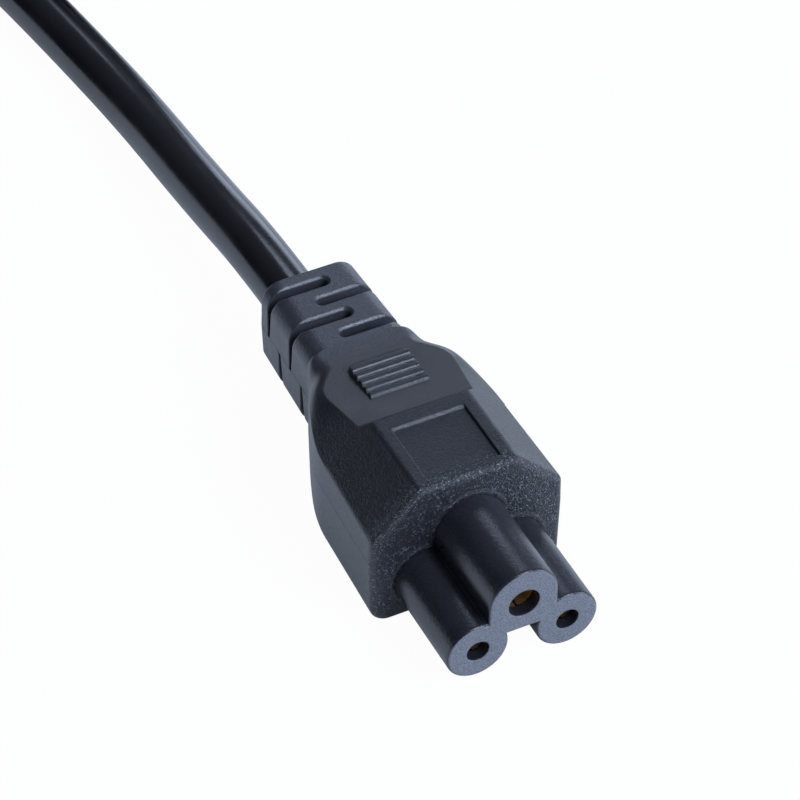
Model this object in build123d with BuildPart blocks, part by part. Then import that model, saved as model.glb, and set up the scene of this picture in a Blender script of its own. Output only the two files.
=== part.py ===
from build123d import *
import os
from math import cos, radians, sqrt, tan

# Mains lead with a three-pole cloverleaf appliance connector.
# Millimetres, +Z up. The connector lies flat with its nose towards -Y and its cord leaving towards +Y.
# The origin is under the middle of the connector, on the surface that the lead lies on.

os.makedirs("parts", exist_ok=True)

# Overall length of the connector without its cord
CONNECTOR_LENGTH = 49.6

# Contacts of the connector, seen from the nose
CONTACT_SPACING = 10.0
CONTACT_HEIGHT = 5.3
EARTH_RISE = 4.6
POLE_BORE_R = 1.26
EARTH_BORE_R = 1.73
SLEEVE_WALL = 0.4
SLEEVE_SETBACK = 1.5
SLEEVE_LENGTH = 15.5
SLEEVE_BORE_DEPTH = 13.5
SLEEVE_SLIT = 0.4
SLEEVE_SLIT_LENGTH = 9.0
BARREL_R = 1.0
BARREL_LENGTH = 4.0

# Cloverleaf nose
NOSE_LENGTH = 12.0
POLE_LOBE_R = 3.41
EARTH_LOBE_R = 3.87
EARTH_LOBE_LIFT = 0.36
BRIDGE_RISE = 1.0
NOSE_EDGE = 0.3
CARRIER_SEAT = 8.0

# Moulded connector housing
BODY_LENGTH = 12.0
BODY_HEIGHT = 16.9
BODY_WIDTH = 21.7
BODY_TAPER = 0.5
TOP_WIDTH = 10.9
SIDE_DRAFT = 0.15
BOTTOM_ROUND = 2.0
BOTTOM_TRIM = 0.03
BODY_EDGE = 0.8
COLLAR_MARGIN = 0.45
COLLAR_HEIGHT = 0.25
CREST_RAMP = 1.0
CREST_DROP = 1.06
PANEL_WIDTH = 8.2
PANEL_LENGTH = 8.15
PANEL_DEPTH = 0.3
PANEL_RAMP = 0.35
PANEL_MARGIN = 1.3

# Neck and thumb grip
GRIP_WIDTH = 6.84
GRIP_LENGTH = 5.5
GRIP_START = 3.5
GRIP_TOP = 15.35
GRIP_CORNER = 0.6
RIDGE_COUNT = 5
RIDGE_PITCH = 1.04
RIDGE_R = 0.42
RIDGE_INSET = 0.1

# Share of the neck's length, how far it has narrowed there and how round its shoulders are
NECK_STATIONS = [
    (0, 0, 0),
    (0.15, 0.04, 0),
    (0.3, 0.14, 0.1),
    (0.42, 0.26, 0.3),
    (0.54, 0.4, 0.7),
    (0.67, 0.57, 0.95),
    (0.83, 0.81, 1),
    (1, 1, 1),
]

# Strain relief of the connector
RELIEF_LENGTH = 12.1
RELIEF_WIDTH = 11.7
RELIEF_HEIGHT = 11.6
RELIEF_TAPER = 0.35
RELIEF_CORNER = 2.3
RELIEF_EDGE = 0.4
SLOT_COUNT = 4
SLOT_PITCH = 2.8
SLOT_WIDTH = 0.5
SLOT_DRAFT = 3.5
SLOT_OVERLAP = 0.95
SLOT_FIRST = 2.26
SLOT_CORE = 1.8
SLOT_LIP = 0.3
SLOT_LIP_ANGLE = 45

# Cord and its insulated cores
CORD_D = 6.2
CORD_GRIP = 9.6
CORD_X = -0.4
CORD_SAG = 0.4
CORE_R = 1.0
CONDUCTOR_R = 0.6
CONDUCTOR_LENGTH = 3.0
CORE_CIRCLE_R = 1.35
CORE_BEND_R = 4.0
CORE_LEAD = 2.0

# Hank of the put-away length, held by two straps
HANK_X = 17.1
HANK_Y = 123.0
HANK_RUN = 120.0
HANK_FOLD_R = 18.6
HANK_LAYERS = 2
HANK_SLACK = 0.2
STRAP_WIDTH = 10.0
STRAP_THICKNESS = 0.8
HANK_CORNER = 2.8

# Mains plug with two flat blades and a round earth pin
PLUG_WIDTH = 25.0
PLUG_HEIGHT = 26.0
PLUG_CORNER = 6.0
PLUG_BODY_LENGTH = 22.0
PLUG_RELIEF_LENGTH = 22.0
PLUG_RELIEF_WIDTH = 12.5
PLUG_RELIEF_TAPER = 1.0
PLUG_REACH = 60.0
PLUG_FACE_THICKNESS = 6.0
PLUG_FACE_MARGIN = 2.4
BLADE_SPACING = 12.7
BLADE_THICKNESS = 1.52
BLADE_HEIGHT = 6.35
BLADE_LENGTH = 17.5
BLADE_HOLE_R = 1.6
BLADE_HOLE_SETBACK = 5.8
BLADE_TIP = 1.0
BLADE_Z = 8.0
EARTH_PIN_OFFSET = 11.9
EARTH_PIN_R = 2.4
EARTH_PIN_EXTRA = 3.0
EARTH_ROOT_R = 1.8
PLUG_BARREL_LENGTH = 5.0
PLUG_CORD_GRIP = 7.0

# Stations along the connector
NECK_LENGTH = CONNECTOR_LENGTH - NOSE_LENGTH - BODY_LENGTH - RELIEF_LENGTH
FACE_Y = -CONNECTOR_LENGTH / 2
BODY_Y = FACE_Y + NOSE_LENGTH
CREST_Y = BODY_Y + BODY_LENGTH
RELIEF_Y = CREST_Y + NECK_LENGTH
EXIT_Y = RELIEF_Y + RELIEF_LENGTH
CORD_START_Y = EXIT_Y - CORD_GRIP
PARTING_Z = BODY_HEIGHT / 2
CORD_Z = PARTING_Z - CORD_SAG
NECK_TOP = BODY_HEIGHT - CREST_DROP
SHOULDER_SUM = TOP_WIDTH / 2 + BODY_HEIGHT
BARREL_END_Y = BODY_Y + CARRIER_SEAT + BARREL_LENGTH

# Stations of the hank and the plug
CORD_R = CORD_D / 2
STRAP_Z = STRAP_THICKNESS
HANK_OUTER = HANK_FOLD_R + CORD_D + CORD_R + HANK_SLACK
HANK_INNER = HANK_FOLD_R - CORD_R - HANK_SLACK
BUNDLE_WIDTH = HANK_OUTER - HANK_INNER
BUNDLE_HEIGHT = HANK_LAYERS * CORD_D + 2 * HANK_SLACK
LOWER_TURN_Z = STRAP_Z + HANK_SLACK + CORD_R
UPPER_TURN_Z = LOWER_TURN_Z + CORD_D
HANK_FAR_Y = HANK_Y + HANK_RUN
PLUG_Z = PLUG_HEIGHT / 2
PLUG_END_Y = HANK_FAR_Y - PLUG_REACH
PLUG_RELIEF_Y = PLUG_END_Y - PLUG_RELIEF_LENGTH
PLUG_FACE_Y = PLUG_RELIEF_Y - PLUG_BODY_LENGTH
PLUG_CORD_Y = PLUG_END_Y - PLUG_CORD_GRIP

POLES = {
    "line": (-CONTACT_SPACING / 2, CONTACT_HEIGHT, POLE_BORE_R),
    "neutral": (CONTACT_SPACING / 2, CONTACT_HEIGHT, POLE_BORE_R),
    "earth": (0.0, CONTACT_HEIGHT + EARTH_RISE, EARTH_BORE_R),
}
CORE_SEATS = {
    "line": (-CORE_CIRCLE_R * cos(radians(30)), -CORE_CIRCLE_R / 2),
    "neutral": (CORE_CIRCLE_R * cos(radians(30)), -CORE_CIRCLE_R / 2),
    "earth": (0.0, CORE_CIRCLE_R),
}
PLUG_POLES = {
    "line": (HANK_X + BLADE_SPACING / 2, BLADE_Z),
    "neutral": (HANK_X - BLADE_SPACING / 2, BLADE_Z),
    "earth": (HANK_X, BLADE_Z + EARTH_PIN_OFFSET),
}

# The free cord's route from the connector into the hank, and out of the hank to the plug
RUN_ROUTE = [
    (CORD_X, CORD_START_Y, CORD_Z),
    (CORD_X, EXIT_Y + 8.0, CORD_Z),
    (-0.8, EXIT_Y + 26.0, 5.6),
    (-0.6, EXIT_Y + 44.0, CORD_R),
    (-2.6, EXIT_Y + 61.0, CORD_R),
    (-4.6, EXIT_Y + 75.0, CORD_R),
    (HANK_X - HANK_FOLD_R - CORD_D, HANK_Y - 8.0, LOWER_TURN_Z),
    (HANK_X - HANK_FOLD_R - CORD_D, HANK_Y + 6.0, LOWER_TURN_Z),
]
TAIL_ROUTE = [
    (HANK_X + HANK_FOLD_R, HANK_FAR_Y, UPPER_TURN_Z),
    (HANK_X + HANK_FOLD_R - 0.2, HANK_FAR_Y - 14.2, UPPER_TURN_Z + 0.1),
    (HANK_X + 13.0, HANK_FAR_Y - 28.0, 11.2),
    (HANK_X + 5.4, HANK_FAR_Y - 39.6, 12.4),
    (HANK_X, PLUG_END_Y + 7.0, PLUG_Z),
    (HANK_X, PLUG_CORD_Y, PLUG_Z),
]


def corner_radii(route):
    """Largest arc that the two runs at each corner of a route allow."""
    points = [Vector(*point) for point in route]
    radii = []
    for before, corner, after in zip(points, points[1:], points[2:]):
        turn = (corner - before).get_angle(after - corner)
        shorter = min((corner - before).length, (after - corner).length)
        radii.append(0.45 * shorter / tan(radians(turn / 2)))
    return radii


def cord_tube(route):
    """Round cord along straight runs joined by tangent arcs."""
    radii = corner_radii(route)
    with BuildPart() as tube:
        with BuildLine() as path:
            FilletPolyline(*route, radius=radii)
        with BuildSketch(Plane(origin=path.line @ 0, z_dir=path.line % 0)):
            Circle(CORD_R)
        sweep()
    length = sum(edge.length for edge in path.line.edges())
    section_volume = length * tube.part.faces().sort_by(Axis.Y)[0].area
    print("cord bend radii", [round(radius, 1) for radius in radii], "length", round(length, 1))
    print("cord volume", round(tube.part.volume), "section times length", round(section_volume))
    return tube.part


def cloverleaf():
    """Outline of the nose: two pole lobes joined by an arch round the earth contact."""
    earth_z = CONTACT_HEIGHT + EARTH_RISE + EARTH_LOBE_LIFT
    bridge_z = CONTACT_HEIGHT + BRIDGE_RISE
    for side in (-1, 1):
        with Locations((side * CONTACT_SPACING / 2, CONTACT_HEIGHT)):
            Circle(POLE_LOBE_R)
    with Locations((0, earth_z)):
        Circle(EARTH_LOBE_R)
    with Locations((0, (earth_z + bridge_z) / 2)):
        Rectangle(2 * EARTH_LOBE_R, earth_z - bridge_z)


def rod(x, z, y_from, y_to, radius, mode=Mode.ADD):
    """Cylinder along Y, added to or cut from the part in hand."""
    with BuildSketch(Plane.XZ.offset(-y_from)) as end:
        with Locations((x, z)):
            Circle(radius)
    extrude(end.sketch, amount=y_from - y_to, mode=mode)


def moulding_section(y, half_width, bottom, top, corner, roundness):
    """Slice of the housing: flat bottom, drafted sides that meet at the parting line, and shoulders."""
    low_half = half_width - SIDE_DRAFT
    high_half = half_width - SIDE_DRAFT / 2
    bulge = (1 - sqrt(0.5)) * corner * max(roundness, 0.01) / sqrt(2)
    arc_share = BOTTOM_ROUND * (1 - sqrt(0.5))
    with BuildSketch(Plane.XZ.offset(-y)) as section:
        with BuildLine():
            Line((0, bottom), (low_half - BOTTOM_ROUND, bottom))
            ThreePointArc(
                (low_half - BOTTOM_ROUND, bottom),
                (low_half - arc_share, bottom + arc_share),
                (low_half, bottom + BOTTOM_ROUND),
            )
            Line((low_half, bottom + BOTTOM_ROUND), (half_width, PARTING_Z))
            Line((half_width, PARTING_Z), (high_half, top - corner))
            ThreePointArc(
                (high_half, top - corner),
                (high_half - corner / 2 + bulge, top - corner / 2 + bulge),
                (high_half - corner, top),
            )
            Line((high_half - corner, top), (0, top))
            mirror(about=Plane.YZ)
        make_face()
    return section.sketch


def shoulder_corner(half_width, top):
    """Size of the 45 degree shoulder left on a slice that is this wide and this high."""
    return half_width - SIDE_DRAFT / 2 + top - SHOULDER_SUM


def body_section(y, taper):
    """Slice of the body between its front face and its crest."""
    half_width = BODY_WIDTH / 2 - taper
    corner = shoulder_corner(half_width, BODY_HEIGHT)
    return moulding_section(y, half_width, -BOTTOM_TRIM, BODY_HEIGHT, corner, 0)


def relief_section(y, taper):
    """Slice of the strain relief."""
    half_height = RELIEF_HEIGHT / 2 - taper
    bottom, top = PARTING_Z - half_height, PARTING_Z + half_height
    return moulding_section(y, RELIEF_WIDTH / 2 - taper, bottom, top, RELIEF_CORNER, 1)


def neck_section(share, narrowing, roundness):
    """Slice of the neck, part of the way from the body to the strain relief."""
    body_half = BODY_WIDTH / 2 - BODY_TAPER
    half_width = body_half + narrowing * (RELIEF_WIDTH / 2 - body_half)
    bottom = narrowing * (PARTING_Z - RELIEF_HEIGHT / 2) - BOTTOM_TRIM
    top = NECK_TOP + share * (PARTING_Z + RELIEF_HEIGHT / 2 - NECK_TOP)
    corner = max(shoulder_corner(half_width, top), RELIEF_CORNER * roundness)
    return moulding_section(CREST_Y + share * NECK_LENGTH, half_width, bottom, top, corner, roundness)


def staggered_slots(x, z, end_y, direction, width, height):
    """Flexing slots of a strain relief: they alternate between its sides, down to a solid core."""
    reach = max(width, height)
    for index in range(SLOT_COUNT):
        y = end_y + direction * (SLOT_FIRST + index * SLOT_PITCH)
        side = -1 if index % 2 == 0 else 1
        for upward in (1, -1):
            middle = side * upward * (reach - SLOT_OVERLAP) / 2
            with BuildSketch(Plane.XY.offset(z)) as slot:
                with Locations((x + middle, y)):
                    SlotOverall(reach + SLOT_OVERLAP, SLOT_WIDTH)
            extrude(slot.sketch, amount=upward * reach, taper=-SLOT_DRAFT)
    with BuildSketch(Plane.XZ.offset(-end_y)) as core:
        with Locations((x, z)):
            RectangleRounded(width - 2 * SLOT_CORE, height - 2 * SLOT_CORE, RELIEF_CORNER / 2)
    core_length = SLOT_FIRST + SLOT_COUNT * SLOT_PITCH
    extrude(core.sketch, amount=-direction * core_length, mode=Mode.SUBTRACT)


def slot_lips():
    """Flared mouths of the slots where they break out of the top and bottom of the strain relief."""
    for index in range(SLOT_COUNT):
        y = EXIT_Y - SLOT_FIRST - index * SLOT_PITCH
        surface = RELIEF_HEIGHT / 2 - RELIEF_TAPER * (y - RELIEF_Y) / RELIEF_LENGTH
        spread = 2 * (surface - SLOT_LIP) * tan(radians(SLOT_DRAFT))
        side = -1 if index % 2 == 0 else 1
        for upward in (1, -1):
            middle = side * upward * (RELIEF_WIDTH - SLOT_OVERLAP) / 2
            with BuildSketch(Plane.XY.offset(PARTING_Z + upward * (surface - SLOT_LIP))) as mouth:
                with Locations((middle, y)):
                    SlotOverall(RELIEF_WIDTH + SLOT_OVERLAP + spread, SLOT_WIDTH + spread)
            extrude(mouth.sketch, amount=2 * upward * SLOT_LIP, taper=-SLOT_LIP_ANGLE)


def insulated_core(barrel, seat):
    """One core: bare conductor in its crimp barrel, then insulation as far as the cord's end."""
    towards = 1 if seat[1] > barrel[1] else -1
    points = [
        barrel,
        (barrel[0], barrel[1] + towards * CORE_LEAD, barrel[2]),
        (seat[0], seat[1] - towards * CORE_LEAD, seat[2]),
        seat,
    ]
    with BuildPart() as core:
        with BuildLine() as path:
            FilletPolyline(*points, radius=CORE_BEND_R)
        with BuildSketch(Plane(origin=path.line @ 0, z_dir=path.line % 0)):
            Circle(CORE_R)
        sweep()
        rod(barrel[0], barrel[2], barrel[1] - towards * CONDUCTOR_LENGTH, barrel[1], CONDUCTOR_R)
    return core.part


def socket_contact(x, z, bore_r):
    """Brass socket: split spring sleeve in front, crimp barrel behind."""
    sleeve_y = FACE_Y + SLEEVE_SETBACK
    with BuildPart() as contact:
        rod(x, z, sleeve_y, sleeve_y + SLEEVE_LENGTH, bore_r + SLEEVE_WALL)
        rod(x, z, sleeve_y + SLEEVE_LENGTH, BARREL_END_Y, BARREL_R)
        rod(x, z, sleeve_y, sleeve_y + SLEEVE_BORE_DEPTH, bore_r, mode=Mode.SUBTRACT)
        rod(x, z, BARREL_END_Y - CONDUCTOR_LENGTH, BARREL_END_Y, CONDUCTOR_R, mode=Mode.SUBTRACT)
        with BuildSketch(Plane.XZ.offset(-sleeve_y)):
            with Locations((x, z - bore_r - SLEEVE_WALL / 2)):
                Rectangle(SLEEVE_SLIT, 2 * SLEEVE_WALL)
        extrude(amount=-SLEEVE_SLIT_LENGTH, mode=Mode.SUBTRACT)
    return contact.part


def plug_barrel(x, z, y_from):
    """Crimp barrel behind a blade or pin, with the hole for its conductor."""
    y_to = y_from + PLUG_BARREL_LENGTH
    rod(x, z, y_from, y_to, BARREL_R)
    rod(x, z, y_to - CONDUCTOR_LENGTH, y_to, CONDUCTOR_R, mode=Mode.SUBTRACT)


def plug_blade(x, z):
    """Flat blade with a chamfered tip, a hole near the tip and a crimp barrel behind the face plate."""
    tip_y = PLUG_FACE_Y - BLADE_LENGTH
    root_y = PLUG_FACE_Y + PLUG_FACE_THICKNESS
    with BuildPart() as blade:
        with BuildSketch(Plane.YZ.offset(x - BLADE_THICKNESS / 2)):
            with Locations(((tip_y + root_y) / 2, z)):
                outline = Rectangle(root_y - tip_y, BLADE_HEIGHT)
            chamfer(outline.vertices().group_by(Axis.Y)[0], BLADE_TIP)
            with Locations((tip_y + BLADE_HOLE_SETBACK, z)):
                Circle(BLADE_HOLE_R, mode=Mode.SUBTRACT)
        extrude(amount=BLADE_THICKNESS)
        plug_barrel(x, z, root_y)
    return blade.part


# Contact carrier: the cloverleaf nose and its seat inside the housing
with BuildPart() as contact_carrier:
    with BuildSketch(Plane.XZ.offset(-FACE_Y)):
        cloverleaf()
    extrude(amount=-(NOSE_LENGTH + CARRIER_SEAT))
    fillet(contact_carrier.faces().sort_by(Axis.Y)[0].edges(), NOSE_EDGE)
    for pole_x, pole_z, bore_r in POLES.values():
        sleeve_end = FACE_Y + SLEEVE_SETBACK + SLEEVE_LENGTH
        rod(pole_x, pole_z, FACE_Y, FACE_Y + SLEEVE_SETBACK, bore_r, mode=Mode.SUBTRACT)
        rod(pole_x, pole_z, FACE_Y + SLEEVE_SETBACK, sleeve_end, bore_r + SLEEVE_WALL, mode=Mode.SUBTRACT)
        rod(pole_x, pole_z, sleeve_end, BODY_Y + CARRIER_SEAT, BARREL_R, mode=Mode.SUBTRACT)

# Contacts and cores inside the connector
connector_contacts = {}
connector_cores = {}
for pole, (pole_x, pole_z, bore_r) in POLES.items():
    seat_x, seat_z = CORE_SEATS[pole]
    connector_contacts[pole] = socket_contact(pole_x, pole_z, bore_r)
    connector_cores[pole] = insulated_core(
        (pole_x, BARREL_END_Y, pole_z), (CORD_X + seat_x, CORD_START_Y, CORD_Z + seat_z)
    )

# Slots of the connector's strain relief
with BuildPart() as relief_slots:
    staggered_slots(0, PARTING_Z, EXIT_Y, -1, RELIEF_WIDTH, RELIEF_HEIGHT)
    slot_lips()

# Connector housing, moulded over the carrier, the cores and the end of the cord
with BuildPart() as connector_body:
    loft([body_section(BODY_Y, 0), body_section(CREST_Y, BODY_TAPER)], ruled=True)
    front_edges = connector_body.faces().sort_by(Axis.Y)[0].edges()
    long_edges = connector_body.edges().filter_by(lambda edge: edge.bounding_box().size.Y > BODY_LENGTH / 2)
    upper_edges = long_edges.filter_by(lambda edge: edge.center().Z > PARTING_Z + 1)
    shoulder_edges = upper_edges.filter_by(lambda edge: abs(edge.center().X) > 1)
    fillet(shoulder_edges + front_edges, BODY_EDGE)
    # Collar round the root of the nose
    with BuildSketch(Plane.XZ.offset(-BODY_Y)):
        cloverleaf()
        offset(amount=COLLAR_MARGIN)
    extrude(amount=COLLAR_HEIGHT)
    loft([neck_section(*station) for station in NECK_STATIONS])
    loft([relief_section(RELIEF_Y, 0), relief_section(EXIT_Y, RELIEF_TAPER)], ruled=True)
    fillet(connector_body.faces().sort_by(Axis.Y)[-1].edges(), RELIEF_EDGE)
    # Ramp down from the top of the body to the neck
    with BuildSketch(Plane.YZ.offset(-BODY_WIDTH / 2)):
        with BuildLine():
            Polyline(
                (CREST_Y - CREST_RAMP, BODY_HEIGHT),
                (CREST_Y, NECK_TOP),
                (CREST_Y, BODY_HEIGHT + CREST_DROP),
                (CREST_Y - CREST_RAMP, BODY_HEIGHT + CREST_DROP),
                close=True,
            )
        make_face()
    extrude(amount=BODY_WIDTH, mode=Mode.SUBTRACT)
    # Flat underside
    with BuildSketch(Plane.XY):
        with Locations((0, (BODY_Y + RELIEF_Y) / 2)):
            Rectangle(2 * BODY_WIDTH, 2 * (RELIEF_Y - BODY_Y))
    extrude(amount=-BODY_HEIGHT, mode=Mode.SUBTRACT)
    # Sunk panel on top of the body, with a sloping rear wall
    panel_y = BODY_Y + PANEL_MARGIN
    with BuildSketch(Plane.YZ.offset(-PANEL_WIDTH / 2)):
        with BuildLine():
            Polyline(
                (panel_y, BODY_HEIGHT),
                (panel_y + PANEL_LENGTH, BODY_HEIGHT),
                (panel_y + PANEL_LENGTH - PANEL_RAMP, BODY_HEIGHT - PANEL_DEPTH),
                (panel_y, BODY_HEIGHT - PANEL_DEPTH),
                close=True,
            )
        make_face()
    extrude(amount=PANEL_WIDTH, mode=Mode.SUBTRACT)
    # Thumb grip with cross ridges
    grip_y = CREST_Y + GRIP_START
    with BuildSketch(Plane.XY.offset(PARTING_Z + RELIEF_HEIGHT / 2)):
        with Locations((0, grip_y + GRIP_LENGTH / 2)):
            grip_outline = Rectangle(GRIP_WIDTH, GRIP_LENGTH)
        fillet(grip_outline.vertices().group_by(Axis.Y)[-1], GRIP_CORNER)
    extrude(amount=GRIP_TOP - PARTING_Z - RELIEF_HEIGHT / 2)
    with BuildSketch(Plane.YZ):
        for ridge in range(RIDGE_COUNT):
            with Locations((grip_y + RIDGE_R + ridge * RIDGE_PITCH, GRIP_TOP)):
                Circle(RIDGE_R)
    extrude(amount=GRIP_WIDTH / 2 - RIDGE_INSET, both=True)
    # Room for what the housing is moulded over
    add(relief_slots.part, mode=Mode.SUBTRACT)
    with BuildSketch(Plane.XZ.offset(COLLAR_HEIGHT - BODY_Y)):
        cloverleaf()
    extrude(amount=-(COLLAR_HEIGHT + CARRIER_SEAT), mode=Mode.SUBTRACT)
    for pole in POLES:
        add(connector_contacts[pole], mode=Mode.SUBTRACT)
        add(connector_cores[pole], mode=Mode.SUBTRACT)
    rod(CORD_X, CORD_Z, CORD_START_Y, EXIT_Y, CORD_R, mode=Mode.SUBTRACT)

# Hank: outer shape of the folded turns, two beside and two above each other
with BuildPart() as cord_hank:
    with BuildSketch(Plane.XY.offset(STRAP_Z)):
        with Locations((HANK_X, HANK_Y + HANK_RUN / 2)):
            SlotCenterToCenter(HANK_RUN, 2 * HANK_OUTER, rotation=90)
            SlotCenterToCenter(HANK_RUN, 2 * HANK_INNER, rotation=90, mode=Mode.SUBTRACT)
    extrude(amount=BUNDLE_HEIGHT)
    fillet(cord_hank.faces().filter_by(Axis.Z).edges(), HANK_CORNER)


def hank_strap(side):
    """Strap round one run of the hank."""
    x = HANK_X + side * (HANK_INNER + BUNDLE_WIDTH / 2)
    z = STRAP_Z + BUNDLE_HEIGHT / 2
    outer_corner = HANK_CORNER + STRAP_THICKNESS
    with BuildPart() as strap:
        with BuildSketch(Plane.XZ.offset(-(HANK_Y + HANK_RUN / 2))):
            with Locations((x, z)):
                RectangleRounded(
                    BUNDLE_WIDTH + 2 * STRAP_THICKNESS, BUNDLE_HEIGHT + 2 * STRAP_THICKNESS, outer_corner
                )
                RectangleRounded(BUNDLE_WIDTH, BUNDLE_HEIGHT, HANK_CORNER, mode=Mode.SUBTRACT)
        extrude(amount=STRAP_WIDTH / 2, both=True)
    return strap.part


# Face plate of the plug, which carries the blades and the earth pin
plate_width = PLUG_WIDTH - 2 * PLUG_FACE_MARGIN
plate_height = PLUG_HEIGHT - 2 * PLUG_FACE_MARGIN
plate_corner = PLUG_CORNER - PLUG_FACE_MARGIN
with BuildPart() as plug_face:
    with BuildSketch(Plane.XZ.offset(-PLUG_FACE_Y)):
        with Locations((HANK_X, PLUG_Z)):
            RectangleRounded(plate_width, plate_height, plate_corner)
        for pole in ("line", "neutral"):
            with Locations(PLUG_POLES[pole]):
                Rectangle(BLADE_THICKNESS, BLADE_HEIGHT, mode=Mode.SUBTRACT)
        with Locations(PLUG_POLES["earth"]):
            Circle(EARTH_ROOT_R, mode=Mode.SUBTRACT)
    extrude(amount=-PLUG_FACE_THICKNESS)

# Blades, earth pin and cores of the plug
plug_contacts = {}
for pole in ("line", "neutral"):
    plug_contacts[pole] = plug_blade(*PLUG_POLES[pole])
earth_x, earth_z = PLUG_POLES["earth"]
with BuildPart() as plug_earth_pin:
    pin_tip_y = PLUG_FACE_Y - BLADE_LENGTH - EARTH_PIN_EXTRA
    rod(earth_x, earth_z, pin_tip_y, PLUG_FACE_Y, EARTH_PIN_R)
    fillet(plug_earth_pin.faces().sort_by(Axis.Y)[0].edges(), EARTH_PIN_R * 0.8)
    rod(earth_x, earth_z, PLUG_FACE_Y, PLUG_FACE_Y + PLUG_FACE_THICKNESS, EARTH_ROOT_R)
    plug_barrel(earth_x, earth_z, PLUG_FACE_Y + PLUG_FACE_THICKNESS)
plug_contacts["earth"] = plug_earth_pin.part
plug_cores = {}
plug_barrel_end = PLUG_FACE_Y + PLUG_FACE_THICKNESS + PLUG_BARREL_LENGTH
for pole, (pole_x, pole_z) in PLUG_POLES.items():
    seat_x, seat_z = CORE_SEATS[pole]
    plug_cores[pole] = insulated_core(
        (pole_x, plug_barrel_end, pole_z), (HANK_X - seat_x, PLUG_CORD_Y, PLUG_Z + seat_z)
    )

# Slots of the plug's strain relief
with BuildPart() as plug_slots:
    staggered_slots(HANK_X, PLUG_Z, PLUG_END_Y, -1, PLUG_RELIEF_WIDTH, PLUG_RELIEF_WIDTH)

# Plug housing, moulded over the face plate's rim, the cores and the end of the cord
with BuildPart() as plug_body:
    shoulder_y = PLUG_FACE_Y + PLUG_BODY_LENGTH / 2
    with BuildSketch(Plane.XZ.offset(-PLUG_FACE_Y)):
        with Locations((HANK_X, PLUG_Z)):
            RectangleRounded(PLUG_WIDTH, PLUG_HEIGHT, PLUG_CORNER)
    extrude(amount=PLUG_FACE_Y - shoulder_y)
    for station, width, height, corner in (
        (shoulder_y, PLUG_WIDTH, PLUG_HEIGHT, PLUG_CORNER),
        (PLUG_RELIEF_Y, PLUG_RELIEF_WIDTH, PLUG_RELIEF_WIDTH, RELIEF_CORNER),
    ):
        with BuildSketch(Plane.XZ.offset(-station)):
            with Locations((HANK_X, PLUG_Z)):
                RectangleRounded(width, height, corner)
    loft(ruled=True)
    for station, taper in ((PLUG_RELIEF_Y, 0), (PLUG_END_Y, PLUG_RELIEF_TAPER)):
        width = PLUG_RELIEF_WIDTH - 2 * taper
        with BuildSketch(Plane.XZ.offset(-station)):
            with Locations((HANK_X, PLUG_Z)):
                RectangleRounded(width, width, RELIEF_CORNER)
    loft(ruled=True)
    fillet(plug_body.faces().sort_by(Axis.Y)[-1].edges(), RELIEF_EDGE)
    fillet(plug_body.faces().sort_by(Axis.Y)[0].edges(), RELIEF_EDGE)
    add(plug_slots.part, mode=Mode.SUBTRACT)
    with BuildSketch(Plane.XZ.offset(-PLUG_FACE_Y)):
        with Locations((HANK_X, PLUG_Z)):
            RectangleRounded(plate_width, plate_height, plate_corner)
    extrude(amount=-PLUG_FACE_THICKNESS, mode=Mode.SUBTRACT)
    for pole in POLES:
        add(plug_contacts[pole], mode=Mode.SUBTRACT)
        add(plug_cores[pole], mode=Mode.SUBTRACT)
    rod(HANK_X, PLUG_Z, PLUG_CORD_Y, PLUG_END_Y, CORD_R, mode=Mode.SUBTRACT)

pieces = {
    "connector_body": connector_body.part,
    "contact_carrier": contact_carrier.part,
    "cord_run": cord_tube(RUN_ROUTE),
    "cord_hank": cord_hank.part,
    "cord_tail": cord_tube(TAIL_ROUTE),
    "hank_strap_left": hank_strap(-1),
    "hank_strap_right": hank_strap(1),
    "plug_body": plug_body.part,
    "plug_face": plug_face.part,
    "plug_line_blade": plug_contacts["line"],
    "plug_neutral_blade": plug_contacts["neutral"],
    "plug_earth_pin": plug_contacts["earth"],
}
for pole in POLES:
    pieces[f"{pole}_contact"] = connector_contacts[pole]
    pieces[f"connector_{pole}_core"] = connector_cores[pole]
    pieces[f"plug_{pole}_core"] = plug_cores[pole]

for node, piece in pieces.items():
    piece.label = node
    export_step(piece, f"parts/{node}.step")
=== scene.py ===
from math import cos, pi, radians, sin, tan

import bpy
from mathutils import Matrix, Vector


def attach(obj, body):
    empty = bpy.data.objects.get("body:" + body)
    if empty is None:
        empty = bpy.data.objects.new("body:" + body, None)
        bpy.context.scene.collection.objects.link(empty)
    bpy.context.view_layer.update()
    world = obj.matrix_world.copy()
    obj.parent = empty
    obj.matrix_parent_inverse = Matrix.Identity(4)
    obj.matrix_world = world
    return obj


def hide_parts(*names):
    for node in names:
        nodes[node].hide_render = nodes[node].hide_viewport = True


# Looks of the mains lead with a cloverleaf connector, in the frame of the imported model.
# Named sizes and places are in millimetres. Those of the floor and the lamps are in metres.
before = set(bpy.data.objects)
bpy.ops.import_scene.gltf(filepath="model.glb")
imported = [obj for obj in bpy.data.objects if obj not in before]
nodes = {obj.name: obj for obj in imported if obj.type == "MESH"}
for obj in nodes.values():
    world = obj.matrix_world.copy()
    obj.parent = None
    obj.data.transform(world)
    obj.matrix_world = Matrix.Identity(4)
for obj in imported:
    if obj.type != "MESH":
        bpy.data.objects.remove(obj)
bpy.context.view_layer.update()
scene = bpy.context.scene
scene.view_settings.view_transform = "Standard"

MM = 0.001

# Camera at the photograph's angle
CAMERA_EYE = (-136.48, -264.72, 300.24)
CAMERA_RIGHT = (0.8951, -0.4457, 0.0104)
CAMERA_UP = (0.3009, 0.6212, 0.7236)
CAMERA_BACK = (-0.3289, -0.6446, 0.6902)
CAMERA_LENS = 182.97
CAMERA_SENSOR = 36.0
CAMERA_NEAR = 10.0

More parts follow.
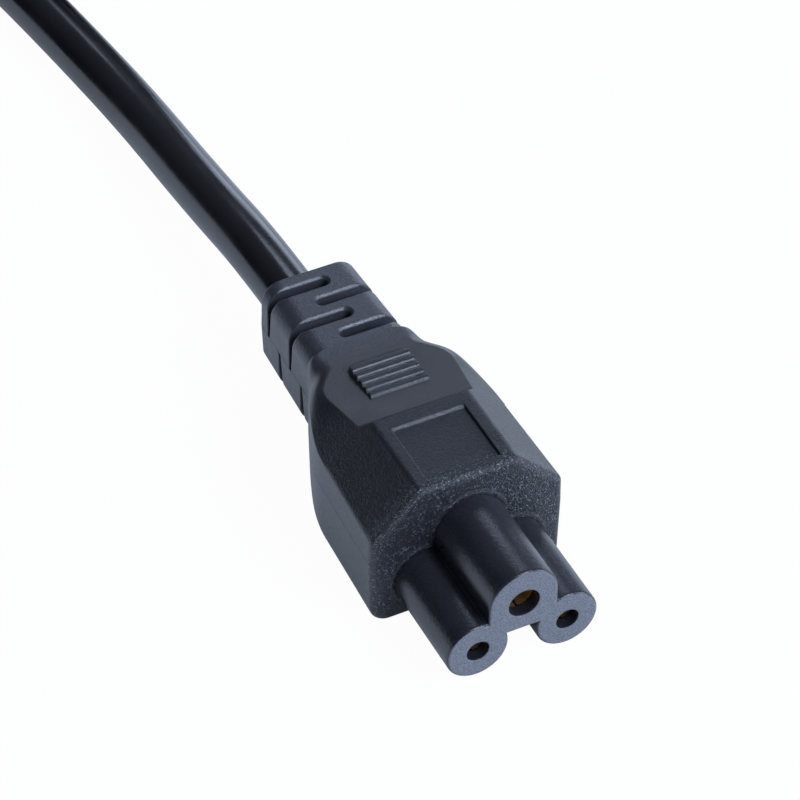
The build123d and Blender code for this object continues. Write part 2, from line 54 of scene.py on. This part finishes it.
camera_data = bpy.data.cameras.new("camera")
camera_data.lens = CAMERA_LENS
camera_data.sensor_width = CAMERA_SENSOR
camera_data.clip_start = CAMERA_NEAR * MM
camera = bpy.data.objects.new("camera", camera_data)
scene.collection.objects.link(camera)
camera_axes = Matrix((CAMERA_RIGHT, CAMERA_UP, CAMERA_BACK)).transposed()
camera.matrix_world = Matrix.Translation(Vector(CAMERA_EYE) * MM) @ camera_axes.to_4x4()
scene.camera = camera

# The cord's route, as in the CAD source
CORD_D = 6.2
HANK_X = 17.1
HANK_NEAR_Y = 123.0
HANK_FAR_Y = 243.0
HANK_INNER_R = 18.6
HANK_OUTER_R = HANK_INNER_R + CORD_D
LOWER_Z = 4.1
UPPER_Z = LOWER_Z + CORD_D
FOLD_STEP = 30

# Where the hank's turns climb to the upper layer, and where the last one crosses the others
CLIMB_START_Y = 172.0
CLIMB_END_Y = HANK_NEAR_Y + 8.0
CROSS_Y = 160.0
CROSS_Z = 13.6
CROSS_FOLD_Z = 14.6
HUMP_Z = 16.6

RUN_POINTS = [
    (-0.4, 15.2, 8.05),
    (-0.4, 32.8, 8.05),
    (-0.8, 50.8, 5.6),
    (-0.6, 68.8, 3.1),
    (-2.6, 85.8, 3.1),
    (-4.6, 99.8, 3.1),
    (-7.7, 115.0, 4.1),
    (-7.7, 129.0, 4.1),
]
TAIL_POINTS = [
    (35.5, 228.8, 10.4),
    (30.1, 215.0, 11.2),
    (22.5, 203.4, 12.4),
    (17.1, 190.0, 13.0),
    (17.1, 176.0, 13.0),
]


def fold(y, radii, z, hump=0.0, far=False):
    """Control points of a half turn round a fold's middle, from one radius to another."""
    count = 180 // FOLD_STEP
    swing = 1 / cos(radians(FOLD_STEP / 2))
    start = 180 if far else 0
    points = []
    for index in range(count):
        share = index / (count - 1)
        angle = radians(start - FOLD_STEP * (index + 0.5))
        radius = (radii[0] + (radii[1] - radii[0]) * share) * swing
        lift = sin(pi * share) * hump
        points.append((HANK_X + radius * cos(angle), y + radius * sin(angle), z + lift))
    return points


def lead(radius):
    """How far before a fold's middle the straight run has its last control point."""
    return radius * tan(radians(FOLD_STEP / 2))


def far_turn(radius, z):
    """Far half of one turn: up the left run, round the far fold and back on the right run."""
    y = HANK_FAR_Y - lead(radius)
    return (
        [(HANK_X - radius, y, z)]
        + fold(HANK_FAR_Y, (radius, radius), z, far=True)
        + [(HANK_X + radius, y, z)]
    )


def hank_points():
    """The folded turns: outer and inner below, then outer and half of the inner above."""
    outer_y = HANK_NEAR_Y + lead(HANK_OUTER_R)
    inner_y = HANK_NEAR_Y + lead(HANK_INNER_R)
    right_outer, right_inner = HANK_X + HANK_OUTER_R, HANK_X + HANK_INNER_R
    left_outer, left_inner = HANK_X - HANK_OUTER_R, HANK_X - HANK_INNER_R
    inwards = (HANK_OUTER_R, HANK_INNER_R)
    outwards = (HANK_INNER_R, HANK_OUTER_R)
    return (
        far_turn(HANK_OUTER_R, LOWER_Z)
        + [(right_outer, outer_y, LOWER_Z)]
        + fold(HANK_NEAR_Y, inwards, LOWER_Z)
        + [(left_inner, inner_y, LOWER_Z)]
        + far_turn(HANK_INNER_R, LOWER_Z)
        + [(right_inner, CLIMB_START_Y, LOWER_Z), (right_inner, CLIMB_END_Y, UPPER_Z)]
        + fold(HANK_NEAR_Y, outwards, UPPER_Z)
        + [(left_outer, outer_y, UPPER_Z)]
        + far_turn(HANK_OUTER_R, UPPER_Z)
        + [(right_outer, CROSS_Y, UPPER_Z), (right_outer, outer_y, CROSS_Z)]
        + fold(HANK_NEAR_Y, inwards, CROSS_FOLD_Z, hump=HUMP_Z - CROSS_FOLD_Z)
        + [(left_inner, inner_y, CROSS_Z), (left_inner, CROSS_Y, UPPER_Z)]
        + far_turn(HANK_INNER_R, UPPER_Z)
    )


def round_cord(name, points):
    """Round cord along one spline."""
    curve = bpy.data.curves.new(name, "CURVE")
    curve.dimensions = "3D"
    curve.bevel_depth = CORD_D / 2 * MM
    curve.bevel_resolution = 8
    curve.use_fill_caps = True
    spline = curve.splines.new("NURBS")
    spline.points.add(len(points) - 1)
    for control, point in zip(spline.points, points):
        control.co = (*(Vector(point) * MM), 1.0)
    spline.order_u = 3
    spline.use_endpoint_u = True
    spline.resolution_u = 10
    made = bpy.data.objects.new(name, curve)
    scene.collection.objects.link(made)
    return made


cord = round_cord("cord", RUN_POINTS + hank_points() + TAIL_POINTS)

# Woven straps round the two runs of the hank, each with an overlapping end on top
STRAP_X = (HANK_INNER_R + HANK_OUTER_R) / 2
STRAP_Y = (HANK_NEAR_Y + HANK_FAR_Y) / 2
STRAP_Z = (LOWER_Z + UPPER_Z) / 2
STRAP_WIDTH = 10.0
STRAP_THICKNESS = 0.8
STRAP_HALF = 6.4
STRAP_CORNER = 2.8
STRAP_GAP = 0.02
STRAP_START = -2.6
STRAP_LAP = 6.4
STRAP_RISE = 6.0
STRAP_STEP = 0.4
STRAP_ROWS = 12
SELVEDGE_DROP = 0.12
SELVEDGE_SHARE = 0.2
SHARP_ANGLE = radians(40)


def strap_point(distance, lift):
    """Point above a rounded square, clockwise from the middle of its top side."""
    straight = STRAP_HALF - STRAP_CORNER
    arc = STRAP_CORNER * pi / 2
    side, along = divmod(distance, 2 * straight + arc)
    if along < straight:
        x, z, lean = along, STRAP_HALF, 0.0
    elif along < straight + arc:
        lean = (along - straight) / STRAP_CORNER
        x, z = straight + STRAP_CORNER * sin(lean), straight + STRAP_CORNER * cos(lean)
    else:
        x, z, lean = STRAP_HALF, straight - (along - straight - arc), pi / 2
    outwards = Vector((sin(lean), cos(lean)))
    return Matrix.Rotation(-side * pi / 2, 2) @ (Vector((x, z)) + outwards * lift)


def strap_band(name, side):
    """Flat band wound once round a run and over its own start."""
    lap_length = 4 * (2 * (STRAP_HALF - STRAP_CORNER) + STRAP_CORNER * pi / 2)
    total = lap_length + STRAP_LAP
    stations = round(total / STRAP_STEP)
    ring = 2 * STRAP_ROWS + 2
    centre = Vector((HANK_X + side * STRAP_X, STRAP_Y, STRAP_Z))
    vertices, faces, weave = [], [], []
    for station in range(stations + 1):
        travelled = total * station / stations
        rise = min(max((travelled - lap_length + STRAP_RISE) / STRAP_RISE, 0.0), 1.0)
        lap_lift = STRAP_THICKNESS * rise * rise * (3 - 2 * rise)
        for row in range(ring):
            outer = row <= STRAP_ROWS
            across = row / STRAP_ROWS if outer else 1 - (row - STRAP_ROWS - 1) / STRAP_ROWS
            selvedge = max(0.0, 1 - (1 - abs(2 * across - 1)) / SELVEDGE_SHARE)
            lift = lap_lift + (STRAP_THICKNESS - SELVEDGE_DROP * selvedge if outer else STRAP_GAP)
            place = strap_point((STRAP_START + travelled) % lap_length, lift)
            offset = Vector((place.x, (across - 0.5) * STRAP_WIDTH, place.y))
            vertices.append((centre + offset) * MM)
            weave.append((travelled, across * STRAP_WIDTH))
    for station in range(stations):
        for row in range(ring):
            first, second = station * ring + row, station * ring + (row + 1) % ring
            faces.append((first, first + ring, second + ring, second))
    faces.append(tuple(range(ring)))
    faces.append(tuple(stations * ring + row for row in reversed(range(ring))))
    mesh = bpy.data.meshes.new(name)
    mesh.from_pydata(vertices, [], faces)
    layer = mesh.uv_layers.new(name="weave")
    for loop in mesh.loops:
        layer.data[loop.index].uv = weave[loop.vertex_index]
    mesh.shade_smooth()
    mesh.set_sharp_from_angle(angle=SHARP_ANGLE)
    made = bpy.data.objects.new(name, mesh)
    scene.collection.objects.link(made)
    return made


straps = {
    "hank_strap_left": strap_band("strap_left", -1),
    "hank_strap_right": strap_band("strap_right", 1),
}

# Shader nodes. Texture scales are per metre.
SPECULAR_LEVEL = 0.75
EDGE_SAMPLES = 6
MIX_FIRST, MIX_SECOND, MIX_RESULT = 6, 7, 2
UNEVEN_LOW, UNEVEN_HIGH = 0.3, 0.7


def shader(name):
    """New material, its node tree and its shader."""
    material = bpy.data.materials.new(name)
    material.use_nodes = True
    tree = material.node_tree
    bsdf = tree.nodes["Principled BSDF"]
    bsdf.inputs["Specular IOR Level"].default_value = SPECULAR_LEVEL
    return material, tree, bsdf


def node(tree, kind, inputs=None, **properties):
    """New node with its properties and unlinked inputs set."""
    made = tree.nodes.new(kind)
    for key, value in properties.items():
        setattr(made, key, value)
    for key, value in (inputs or {}).items():
        made.inputs[key].default_value = value
    return made


def grey(level):
    """Colour without a hue."""
    return (level, level, level)


def dimmed(colour, share):
    """Colour with every channel times a share."""
    return tuple(channel * share for channel in colour)


def object_coordinates(tree):
    """Place on the object, in metres."""
    return node(tree, "ShaderNodeTexCoord").outputs["Object"]


def axes(tree, vector):
    """Parts of a vector along X, Y and Z."""
    split = node(tree, "ShaderNodeSeparateXYZ")
    tree.links.new(vector, split.inputs[0])
    return split.outputs["X"], split.outputs["Y"], split.outputs["Z"]


def ramp(tree, source, stops):
    """Colour ramp on a factor: stops of position and grey level or colour."""
    made = node(tree, "ShaderNodeValToRGB")
    elements = made.color_ramp.elements
    for element, (position, level) in zip(elements, stops, strict=True):
        element.position = position
        element.color = (*(grey(level) if isinstance(level, float) else level), 1)
    tree.links.new(source, made.inputs["Fac"])
    return made.outputs["Color"]


def uneven(tree, patches, low, high):
    """Grey level or colour that drifts between two values with a noise."""
    return ramp(tree, patches, [(UNEVEN_LOW, low), (UNEVEN_HIGH, high)])


def noise(tree, vector, scale, detail=2.0, roughness=0.5):
    """Cloudy noise."""
    made = node(tree, "ShaderNodeTexNoise", {"Scale": scale, "Detail": detail, "Roughness": roughness})
    tree.links.new(vector, made.inputs["Vector"])
    return made.outputs["Fac"]


def bump(tree, height, distance, normal=None):
    """Surface normal bent by a height."""
    made = node(tree, "ShaderNodeBump", {"Distance": distance})
    tree.links.new(height, made.inputs["Height"])
    if normal is not None:
        tree.links.new(normal, made.inputs["Normal"])
    return made.outputs["Normal"]


def soft_edges(tree, radius):
    """Surface normal rounded at the edges."""
    return node(tree, "ShaderNodeBevel", {"Radius": radius}, samples=EDGE_SAMPLES).outputs["Normal"]


def math_node(tree, operation, first, second=0.0):
    """One sum, of sockets or numbers."""
    made = node(tree, "ShaderNodeMath", operation=operation)
    for index, value in enumerate((first, second)):
        if isinstance(value, (int, float)):
            made.inputs[index].default_value = value
        else:
            tree.links.new(value, made.inputs[index])
    return made.outputs[0]


def scaled(tree, value, gain, base):
    """A value times a gain, plus a base."""
    return math_node(tree, "ADD", math_node(tree, "MULTIPLY", value, gain), base)


def rising(tree, value, low, high):
    """Rises smoothly from 0 to 1 as a value goes from low to high."""
    made = node(
        tree, "ShaderNodeMapRange", {"From Min": low, "From Max": high}, interpolation_type="SMOOTHSTEP"
    )
    tree.links.new(value, made.inputs["Value"])
    return made.outputs["Result"]


def falling(tree, value, low, high):
    """Falls smoothly from 1 to 0 as a value goes from low to high."""
    return math_node(tree, "SUBTRACT", 1.0, rising(tree, value, low, high))


def mixed(tree, share, first, second):
    """Blend of two colours by a share."""
    made = node(tree, "ShaderNodeMix", data_type="RGBA")
    tree.links.new(share, made.inputs["Factor"])
    for socket, colour in ((made.inputs[MIX_FIRST], first), (made.inputs[MIX_SECOND], second)):
        if isinstance(colour, tuple):
            socket.default_value = (*colour, 1)
        else:
            tree.links.new(colour, socket)
    return made.outputs[MIX_RESULT]


# Plain plastics, metals and fabric
PATCH_SCALE = 180.0
SHADE_SPREAD = 0.15
GLOSS_SPREAD = 0.05
MARK_SCALE = 4000.0
MARK_STRETCH = 0.08
MARK_SHADE = 0.8
MARK_GLOSS = 0.15
MARK_DEPTH = 0.02
FUZZ_SCALE = 2600.0
FUZZ_DEPTH = 0.5
WEAVE_PITCH = 0.7
WEAVE_SHADE = 0.5
WEAVE_DEPTH = 0.12
FABRIC_ROUGHNESS = 0.85
FABRIC_SHEEN = 0.2


def plain_plastic(name, colour, roughness, grain_scale, grain_depth, edge):
    """Moulded plastic with faint uneven gloss and a fine grain."""
    material, tree, bsdf = shader(name)
    where = object_coordinates(tree)
    patches = noise(tree, where, PATCH_SCALE, 3.0)
    shade = uneven(tree, patches, dimmed(colour, 1 - SHADE_SPREAD), dimmed(colour, 1 + SHADE_SPREAD))
    tree.links.new(shade, bsdf.inputs["Base Color"])
    gloss = uneven(tree, patches, roughness - GLOSS_SPREAD, roughness + GLOSS_SPREAD)
    tree.links.new(gloss, bsdf.inputs["Roughness"])
    grain = noise(tree, where, grain_scale)
    grained = bump(tree, grain, grain_depth * MM, soft_edges(tree, edge * MM))
    tree.links.new(grained, bsdf.inputs["Normal"])
    return material


def metal(name, colour, roughness):
    """Bare or plated metal with fine drawing marks along its length."""
    material, tree, bsdf = shader(name)
    bsdf.inputs["Metallic"].default_value = 1.0
    stretch = node(tree, "ShaderNodeMapping", {"Scale": (1.0, MARK_STRETCH, 1.0)})
    tree.links.new(object_coordinates(tree), stretch.inputs["Vector"])
    marks = noise(tree, stretch.outputs["Vector"], MARK_SCALE, 3.0)
    shade = ramp(tree, marks, [(0.25, dimmed(colour, MARK_SHADE)), (0.75, colour)])
    tree.links.new(shade, bsdf.inputs["Base Color"])
    gloss = ramp(tree, marks, [(0.2, roughness), (0.8, roughness + MARK_GLOSS)])
    tree.links.new(gloss, bsdf.inputs["Roughness"])
    tree.links.new(bump(tree, marks, MARK_DEPTH * MM), bsdf.inputs["Normal"])
    return material


def woven(name, colour):
    """Plain weave: threads along and across a band, over and under each other, with painted shade in the
    gaps between threads.
    """
    material, tree, bsdf = shader(name)
    along, across, _ = axes(tree, node(tree, "ShaderNodeUVMap", uv_map="weave").outputs["UV"])
    waves = []
    for distance in (along, across):
        phase = math_node(tree, "MULTIPLY", distance, 2 * pi / WEAVE_PITCH)
        waves.append(math_node(tree, "SINE", phase))
    threads = math_node(tree, "MULTIPLY", waves[0], waves[1])
    height = scaled(tree, threads, 0.5, 0.5)
    fuzz = noise(tree, object_coordinates(tree), FUZZ_SCALE, 3.0, 0.7)
    # Darker colour where the weave is low: painted shade in the thread gaps, over a random fuzz tone.
    light = math_node(tree, "MULTIPLY", height, fuzz)
    shade = ramp(tree, light, [(0.1, dimmed(colour, WEAVE_SHADE)), (0.5, colour)])
    tree.links.new(shade, bsdf.inputs["Base Color"])
    bsdf.inputs["Roughness"].default_value = FABRIC_ROUGHNESS
    bsdf.inputs["Sheen Weight"].default_value = FABRIC_SHEEN
    surface = math_node(tree, "ADD", height, math_node(tree, "MULTIPLY", fuzz, FUZZ_DEPTH))
    tree.links.new(bump(tree, surface, WEAVE_DEPTH * MM), bsdf.inputs["Normal"])
    return material


# The housing's zones, as spans along its length, from its seam or of a face's upward share
CREST_Y = -0.8
BODY_Y = -12.8
PARTING_Z = 8.45
RELIEF_END_Y = 25.0
CREST_SPAN = (CREST_Y - 0.4, CREST_Y + 0.2)
SHOULDER_SPAN = (CREST_Y + 1.0, CREST_Y + 11.0)
FRONT_SPAN = (BODY_Y + 0.2, BODY_Y + 1.6)
PAINTED_GLINT_SPAN = (BODY_Y + 0.3, BODY_Y + 3.4)
SEAM_START_SPAN = (BODY_Y + 0.3, BODY_Y + 0.6)
SEAM_SPAN = (0.04, 0.11)
RELIEF_SPAN = (8.0, 14.0)
TOP_SPAN = (0.84, 0.95)

# The housing's colours and surface
NECK_BLACKS = ((0.014, 0.015, 0.019), (0.023, 0.024, 0.030))
RELIEF_BLACKS = ((0.042, 0.043, 0.052), (0.058, 0.060, 0.072))
BODY_BLACK = (0.010, 0.012, 0.016)
FRONT_BLACK = (0.007, 0.0085, 0.012)
SEAM_BLACK = (0.0015, 0.0016, 0.002)
# Pale specks of the spark texture, strongest near the front: painted glints.
PAINTED_GLINT_GREY = (0.40, 0.43, 0.51)
PAINTED_GLINT_SCALE = 5800.0
PAINTED_GLINT_CLUSTER_SCALE = 2600.0
FRONT_PAINTED_GLINTS = 0.72
BODY_PAINTED_GLINTS = 0.08
HOUSING_PATCH_SCALE = 260.0
SATIN_ROUGHNESS = (0.31, 0.42)
BODY_ROUGHNESS = 0.29
SPARK_SCALE = 4000.0
FRONT_SPARK = 1.1
BODY_SPARK = 0.95
LEATHER_SCALE = 3600.0
RELIEF_LEATHER = 0.50
NECK_LEATHER = 0.22
HOUSING_DEPTH = 0.10
HOUSING_EDGE = 0.3


def in_metres(span):
    """Both ends of a span, from millimetres."""
    return tuple(end * MM for end in span)


def housing_zones(tree, where):
    """Share of each zone at a place on the housing."""
    _, along, height = axes(tree, where)
    _, _, upward = axes(tree, node(tree, "ShaderNodeNewGeometry").outputs["Normal"])
    smooth_top = rising(tree, along, *in_metres(CREST_SPAN))
    smooth_side = rising(tree, along, *in_metres(SHOULDER_SPAN))
    smooth = mixed(tree, rising(tree, upward, *TOP_SPAN), smooth_side, smooth_top)
    from_parting = math_node(tree, "ABSOLUTE", math_node(tree, "SUBTRACT", height, PARTING_Z * MM))
    on_side = math_node(
        tree, "MULTIPLY", rising(tree, along, *in_metres(SEAM_START_SPAN)),
        math_node(tree, "LESS_THAN", along, RELIEF_END_Y * MM),
    )
    return {
        "textured": math_node(tree, "SUBTRACT", 1.0, smooth),
        "front": falling(tree, along, *in_metres(FRONT_SPAN)),
        "painted_glints": falling(tree, along, *in_metres(PAINTED_GLINT_SPAN)),
        "relief": rising(tree, along, *in_metres(RELIEF_SPAN)),
        "seam": math_node(tree, "MULTIPLY", falling(tree, from_parting, *in_metres(SEAM_SPAN)), on_side),
    }


def housing_colour(tree, where, patches, zones):
    """Blacks of the zones, painted glints as pale specks near the front, and the dark seam."""
    neck = uneven(tree, patches, *NECK_BLACKS)
    relief = uneven(tree, patches, *RELIEF_BLACKS)
    satin = mixed(tree, zones["relief"], neck, relief)
    grained = mixed(tree, zones["front"], BODY_BLACK, FRONT_BLACK)
    black = mixed(tree, zones["textured"], satin, grained)
    # Pale specks mixed into the black: painted glints, strongest near the front.
    grains = node(tree, "ShaderNodeTexVoronoi", {"Scale": PAINTED_GLINT_SCALE}, feature="F1")
    tree.links.new(where, grains.inputs["Vector"])
    painted_glint_peaks = ramp(tree, grains.outputs["Distance"], [(0.20, 1.0), (0.46, 0.0)])
    clusters = noise(tree, where, PAINTED_GLINT_CLUSTER_SCALE, 3.0, 0.7)
    painted_glint_patches = ramp(tree, clusters, [(0.47, 0.0), (0.60, 1.0)])
    specks = math_node(tree, "MULTIPLY", painted_glint_peaks, painted_glint_patches)
    painted_glint_strength = scaled(tree, zones["painted_glints"], FRONT_PAINTED_GLINTS, BODY_PAINTED_GLINTS)
    specks = math_node(tree, "MULTIPLY", specks, painted_glint_strength)
    specks = math_node(tree, "MULTIPLY", specks, zones["textured"])
    return mixed(tree, zones["seam"], mixed(tree, specks, black, PAINTED_GLINT_GREY), SEAM_BLACK)


def housing_surface(tree, where, zones):
    """Spark texture on the body, leather grain behind it and the seam's groove."""
    spark_depth = scaled(tree, zones["front"], FRONT_SPARK, BODY_SPARK)
    spark_depth = math_node(tree, "MULTIPLY", spark_depth, zones["textured"])
    spark = math_node(tree, "MULTIPLY", noise(tree, where, SPARK_SCALE, 3.0, 0.65), spark_depth)
    leather_depth = scaled(tree, zones["relief"], RELIEF_LEATHER, NECK_LEATHER)
    leather = math_node(tree, "MULTIPLY", noise(tree, where, LEATHER_SCALE, 3.0), leather_depth)
    surface = math_node(tree, "SUBTRACT", math_node(tree, "ADD", spark, leather), zones["seam"])
    return bump(tree, surface, HOUSING_DEPTH * MM, soft_edges(tree, HOUSING_EDGE * MM))


def housing_material():
    """Soft black PVC: spark-textured body, satin neck and strain relief, fine parting line."""
    material, tree, bsdf = shader("housing_pvc")
    where = object_coordinates(tree)
    zones = housing_zones(tree, where)
    patches = noise(tree, where, HOUSING_PATCH_SCALE, 4.0, 0.6)
    tree.links.new(housing_colour(tree, where, patches, zones), bsdf.inputs["Base Color"])
    gloss = uneven(tree, patches, *SATIN_ROUGHNESS)
    rough = mixed(tree, zones["textured"], gloss, grey(BODY_ROUGHNESS))
    tree.links.new(rough, bsdf.inputs["Roughness"])
    tree.links.new(housing_surface(tree, where, zones), bsdf.inputs["Normal"])
    return material


# The nose's end face, colours and surface
FACE_Y = -24.8
FACE_SPAN = (FACE_Y + 0.01, FACE_Y + 0.07)
NOSE_BLACKS = ((0.016, 0.017, 0.022), (0.024, 0.026, 0.034))
NOSE_GRAIN_GREY = (0.12, 0.13, 0.16)
NOSE_GRAIN_SCALE = 3000.0
NOSE_GRAIN_SHARE = 0.22
NOSE_PATCH_SCALE = 300.0
NOSE_ROUGHNESS = (0.18, 0.27)
NOSE_FINE_SCALE = 6000.0
NOSE_FINE_DEPTH = 0.3
NOSE_DEPTH = 0.03
NOSE_EDGE = 0.35
# The end face's greys: a frosted finish, made paler partly with painted light of the bright floor in
# front.
FROST_AND_PAINTED_LIGHT_GREYS = ((0.068, 0.073, 0.087), (0.250, 0.264, 0.300))
FROST_SCALE = 5600.0
FROST_ROUGHNESS = 0.55


def carrier_material():
    """Harder black plastic of the nose: smooth sides with a few grains, frosted end face, made paler
    partly with painted light.
    """
    material, tree, bsdf = shader("carrier_plastic")
    where = object_coordinates(tree)
    _, along, _ = axes(tree, where)
    end_face = falling(tree, along, *in_metres(FACE_SPAN))
    patches = noise(tree, where, NOSE_PATCH_SCALE, 4.0, 0.6)
    grains = noise(tree, where, NOSE_GRAIN_SCALE, 3.0, 0.7)
    specks = math_node(tree, "MULTIPLY", ramp(tree, grains, [(0.62, 0.0), (0.72, 1.0)]), NOSE_GRAIN_SHARE)
    sides = mixed(tree, specks, uneven(tree, patches, *NOSE_BLACKS), NOSE_GRAIN_GREY)
    frost_and_painted_light = uneven(tree, noise(tree, where, FROST_SCALE, 2.0, 0.8), *FROST_AND_PAINTED_LIGHT_GREYS)
    tree.links.new(mixed(tree, end_face, sides, frost_and_painted_light), bsdf.inputs["Base Color"])
    satin = uneven(tree, patches, *NOSE_ROUGHNESS)
    tree.links.new(mixed(tree, end_face, satin, grey(FROST_ROUGHNESS)), bsdf.inputs["Roughness"])
    fine = math_node(tree, "MULTIPLY", noise(tree, where, NOSE_FINE_SCALE), NOSE_FINE_DEPTH)
    surface = math_node(tree, "ADD", fine, grains)
    grained = bump(tree, surface, NOSE_DEPTH * MM, soft_edges(tree, NOSE_EDGE * MM))
    tree.links.new(grained, bsdf.inputs["Normal"])
    return material


housing = housing_material()
carrier = carrier_material()
plug_pvc = plain_plastic(
    "plug_pvc", (0.0065, 0.0072, 0.0100), roughness=0.40, grain_scale=5200.0, grain_depth=0.03, edge=0.25
)
cord_pvc = plain_plastic(
    "cord_pvc", (0.0055, 0.0060, 0.0080), roughness=0.21, grain_scale=2400.0, grain_depth=0.01, edge=0.1
)
strap = woven("strap_fabric", (0.045, 0.045, 0.048))
brass = metal("contact_brass", (0.98, 0.72, 0.30), roughness=0.37)
nickel = metal("blade_nickel", (0.62, 0.60, 0.56), roughness=0.22)

CORE_COLOURS = {
    "line": (0.16, 0.06, 0.03),
    "neutral": (0.03, 0.10, 0.38),
    "earth": (0.30, 0.42, 0.04),
}
node_materials = {
    "connector_body": housing,
    "plug_body": plug_pvc,
    "contact_carrier": carrier,
    "plug_face": carrier,
    "plug_line_blade": nickel,
    "plug_neutral_blade": nickel,
    "plug_earth_pin": nickel,
    "cord_run": cord_pvc,
    "cord_hank": cord_pvc,
    "cord_tail": cord_pvc,
}
for pole, colour in CORE_COLOURS.items():
    core = plain_plastic(
        f"{pole}_core", colour, roughness=0.45, grain_scale=4000.0, grain_depth=0.01, edge=0.1
    )
    node_materials[f"{pole}_contact"] = brass
    node_materials[f"connector_{pole}_core"] = core
    node_materials[f"plug_{pole}_core"] = core
for name, material in node_materials.items():
    nodes[name].data.materials.clear()
    nodes[name].data.materials.append(material)

for node_name, strap_object in straps.items():
    strap_object.data.materials.append(strap)
    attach(strap_object, "root")
    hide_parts(node_name)

cord.data.materials.append(cord_pvc)
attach(cord, "root")
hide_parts("cord_run", "cord_hank", "cord_tail")

# Floor, which looks white to the camera and in reflections, with painted shade in its reflected glow near
# what stands on it, and keeps a faint shadow
FLOOR_HALF = 2.0
FLOOR_Z = -0.00005
FLOOR_PAINT = (0.92, 0.92, 0.92, 1)
FLOOR_ROUGHNESS = 0.9
FLOOR_GLOW = 0.975
FLOOR_WHITE = (1.0, 1.0, 1.0)
REFLECTED_WHITE = (0.70, 0.80, 1.0, 1)
PAINTED_SHADE_REACH = 0.014
PAINTED_SHADE_SAMPLES = 6


def floor_material():
    """Lit paint under an even white, which reflections see darker near what stands on it: painted shade.
    """
    material, tree, bsdf = shader("floor")
    bsdf.inputs["Base Color"].default_value = FLOOR_PAINT
    bsdf.inputs["Roughness"].default_value = FLOOR_ROUGHNESS
    bsdf.inputs["Specular IOR Level"].default_value = 0.0
    rays = node(tree, "ShaderNodeLightPath").outputs
    mirrored = math_node(tree, "MAXIMUM", rays["Is Glossy Ray"], rays["Is Transmission Ray"])
    seen = math_node(tree, "MAXIMUM", rays["Is Camera Ray"], mirrored)
    # The glow seen in reflections is darkened near what stands on the floor: painted contact shade.
    contact = node(
        tree, "ShaderNodeAmbientOcclusion", {"Color": REFLECTED_WHITE, "Distance": PAINTED_SHADE_REACH},
        samples=PAINTED_SHADE_SAMPLES,
    )
    glow = node(tree, "ShaderNodeEmission", {"Strength": 1.0})
    white = mixed(tree, mirrored, FLOOR_WHITE, contact.outputs["Color"])
    tree.links.new(white, glow.inputs["Color"])
    blend = node(tree, "ShaderNodeMixShader")
    tree.links.new(math_node(tree, "MULTIPLY", seen, FLOOR_GLOW), blend.inputs[0])
    tree.links.new(bsdf.outputs["BSDF"], blend.inputs[1])
    tree.links.new(glow.outputs["Emission"], blend.inputs[2])
    tree.links.new(blend.outputs["Shader"], tree.nodes["Material Output"].inputs["Surface"])
    return material


floor_corners = [(x * FLOOR_HALF, y * FLOOR_HALF, 0) for x, y in ((-1, -1), (1, -1), (1, 1), (-1, 1))]
floor_mesh = bpy.data.meshes.new("floor")
floor_mesh.from_pydata(floor_corners, [], [(0, 1, 2, 3)])
floor_mesh.materials.append(floor_material())
floor = bpy.data.objects.new("floor", floor_mesh)
floor.location = (0, 0, FLOOR_Z)
scene.collection.objects.link(floor)

# World, brighter towards the right and overhead
COOL = (0.69, 0.79, 1.0)
SKY_BRIGHT_SIDE = (0.62, 0.25, 0.74)
SKY_FADE = {"From Min": -0.02, "From Max": 1.0, "To Min": 0.05, "To Max": 0.25}

world = bpy.data.worlds.new("studio")
world.use_nodes = True
sky = world.node_tree
background = sky.nodes["Background"]
background.inputs["Color"].default_value = (*COOL, 1)
facing = node(sky, "ShaderNodeVectorMath", {1: SKY_BRIGHT_SIDE}, operation="DOT_PRODUCT")
sky.links.new(node(sky, "ShaderNodeTexCoord").outputs["Generated"], facing.inputs[0])
fade = node(sky, "ShaderNodeMapRange", SKY_FADE)
sky.links.new(facing.outputs["Value"], fade.inputs["Value"])
sky.links.new(fade.outputs["Result"], background.inputs["Strength"])
scene.world = world


def softbox(name, place, target, size, radiance):
    """Soft lamp of a given size and brightness, turned to a point."""
    data = bpy.data.lights.new(name, "AREA")
    data.shape = "RECTANGLE"
    data.size, data.size_y = size
    data.energy = radiance * pi * size[0] * size[1]
    data.color = COOL
    lamp = bpy.data.objects.new(name, data)
    lamp.location = place
    lamp.visible_camera = False
    lamp.rotation_euler = (Vector(target) - Vector(place)).to_track_quat("-Z", "Y").to_euler()
    scene.collection.objects.link(lamp)


softbox("rear", place=(0.15, 0.335, 0.325), target=(0, 0.015, 0.014), size=(0.16, 0.12), radiance=2.7)
softbox("right", place=(0.90, -0.42, 0.26), target=(0, 0, 0), size=(0.5, 0.4), radiance=7.5)
softbox("side", place=(0.16, 0.205, 0.036), target=(0, 0.05, 0.01), size=(0.11, 0.07), radiance=2.4)
softbox("front", place=(0.40, -0.85, 0.85), target=(0, 0, 0), size=(0.7, 0.55), radiance=12.0)
